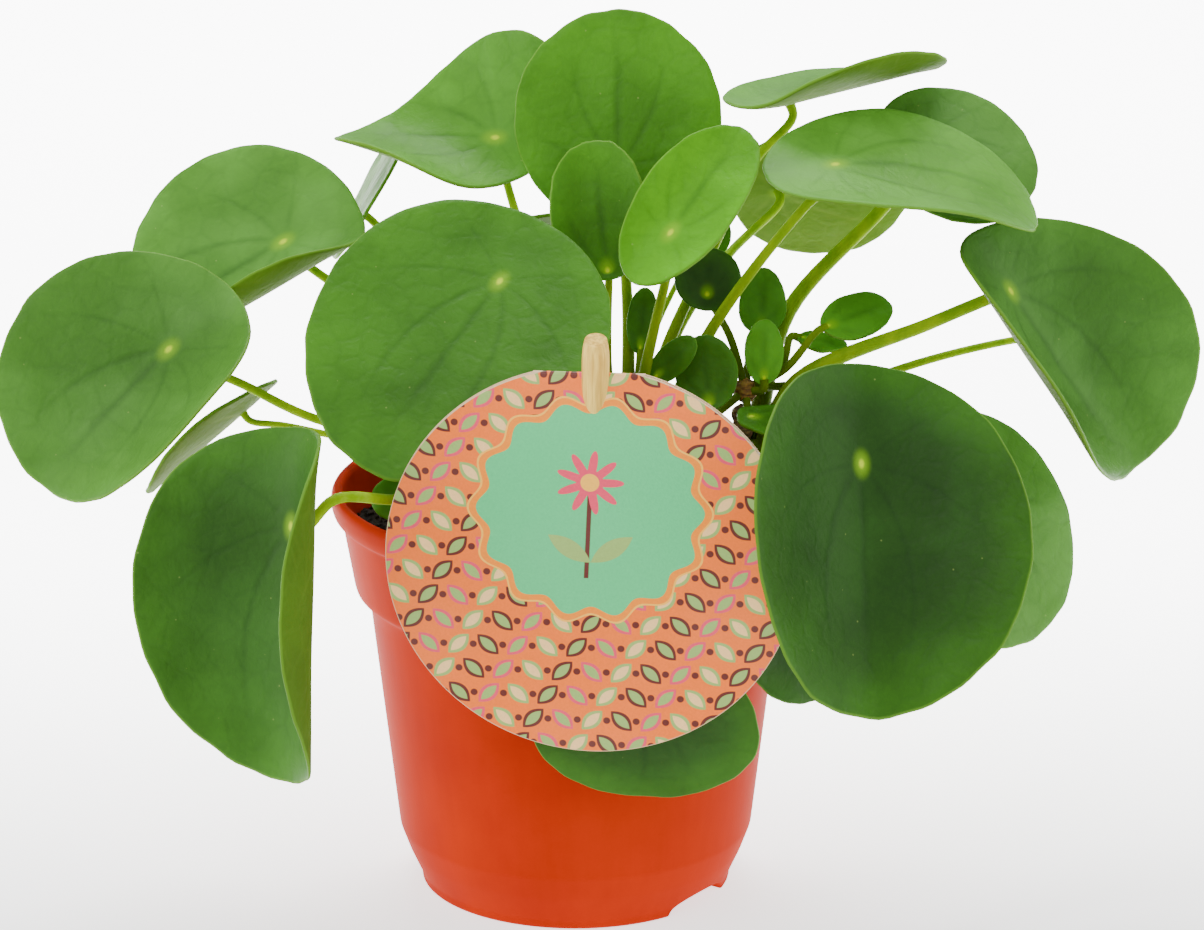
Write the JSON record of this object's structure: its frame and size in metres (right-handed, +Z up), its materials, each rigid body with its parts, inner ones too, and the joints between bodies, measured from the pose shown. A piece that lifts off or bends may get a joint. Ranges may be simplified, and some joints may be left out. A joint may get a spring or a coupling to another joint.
{
  "type": "potted chinese money plant",
  "caption": "Leafy house plant with round flat leaves on long thin stalks, in a tapered plastic nursery pot of soil, with a round card label on a wooden stick.",
  "frame": {"origin": "centre of the pot's floor, on the surface that the pot stands on", "axes": "+Z up, -Y towards the viewer and the label, +X to the viewer's right"},
  "size_m": [0.2961, 0.194, 0.2142],
  "materials": {
    "pot": "satin terracotta-orange plastic",
    "soil": "rough, dark and crumbly",
    "stem": "rough brown bark",
    "leaf": "satin green",
    "stalk": "satin yellow-green",
    "label": "printed card",
    "wood": "plain pale wood"
  },
  "bodies": {
    "root": {"pot": "pot", "soil": "soil", "stem_main": "stem", "stem_side": "stem", "label": "label", "label_stick": "wood", "leaf_far_left": "leaf", "stalk_far_left": "stalk", "leaf_upper_left": "leaf", "stalk_upper_left": "stalk", "leaf_low_left": "leaf", "stalk_low_left": "stalk", "leaf_centre_left": "leaf", "stalk_centre_left": "stalk", "leaf_top_left": "leaf", "stalk_top_left": "stalk", "leaf_top": "leaf", "stalk_top": "stalk", "leaf_young_left": "leaf", "stalk_young_left": "stalk", "leaf_young_right": "leaf", "stalk_young_right": "stalk", "leaf_top_right": "leaf", "stalk_top_right": "stalk", "leaf_right_back": "leaf", "stalk_right_back": "stalk", "leaf_right_upper": "leaf", "stalk_right_upper": "stalk", "leaf_back_under": "leaf", "stalk_back_under": "stalk", "leaf_far_right": "leaf", "stalk_far_right": "stalk", "leaf_right_front": "leaf", "stalk_right_front": "stalk", "leaf_right_low_back": "leaf", "stalk_right_low_back": "stalk", "leaf_low_right": "leaf", "stalk_low_right": "stalk", "leaf_front": "leaf", "stalk_front": "stalk", "leaf_edge_left": "leaf", "stalk_edge_left": "stalk", "leaf_left_back": "leaf", "stalk_left_back": "stalk", "leaf_hidden_right": "leaf", "stalk_hidden_right": "stalk", "leaf_back_dark": "leaf", "stalk_back_dark": "stalk", "leaf_inner_back": "leaf", "leaf_inner_low": "leaf", "leaf_inner_centre": "leaf", "leaf_rim_left": "leaf", "shoot_leaves": "leaf"}
  },
  "joints": []
}
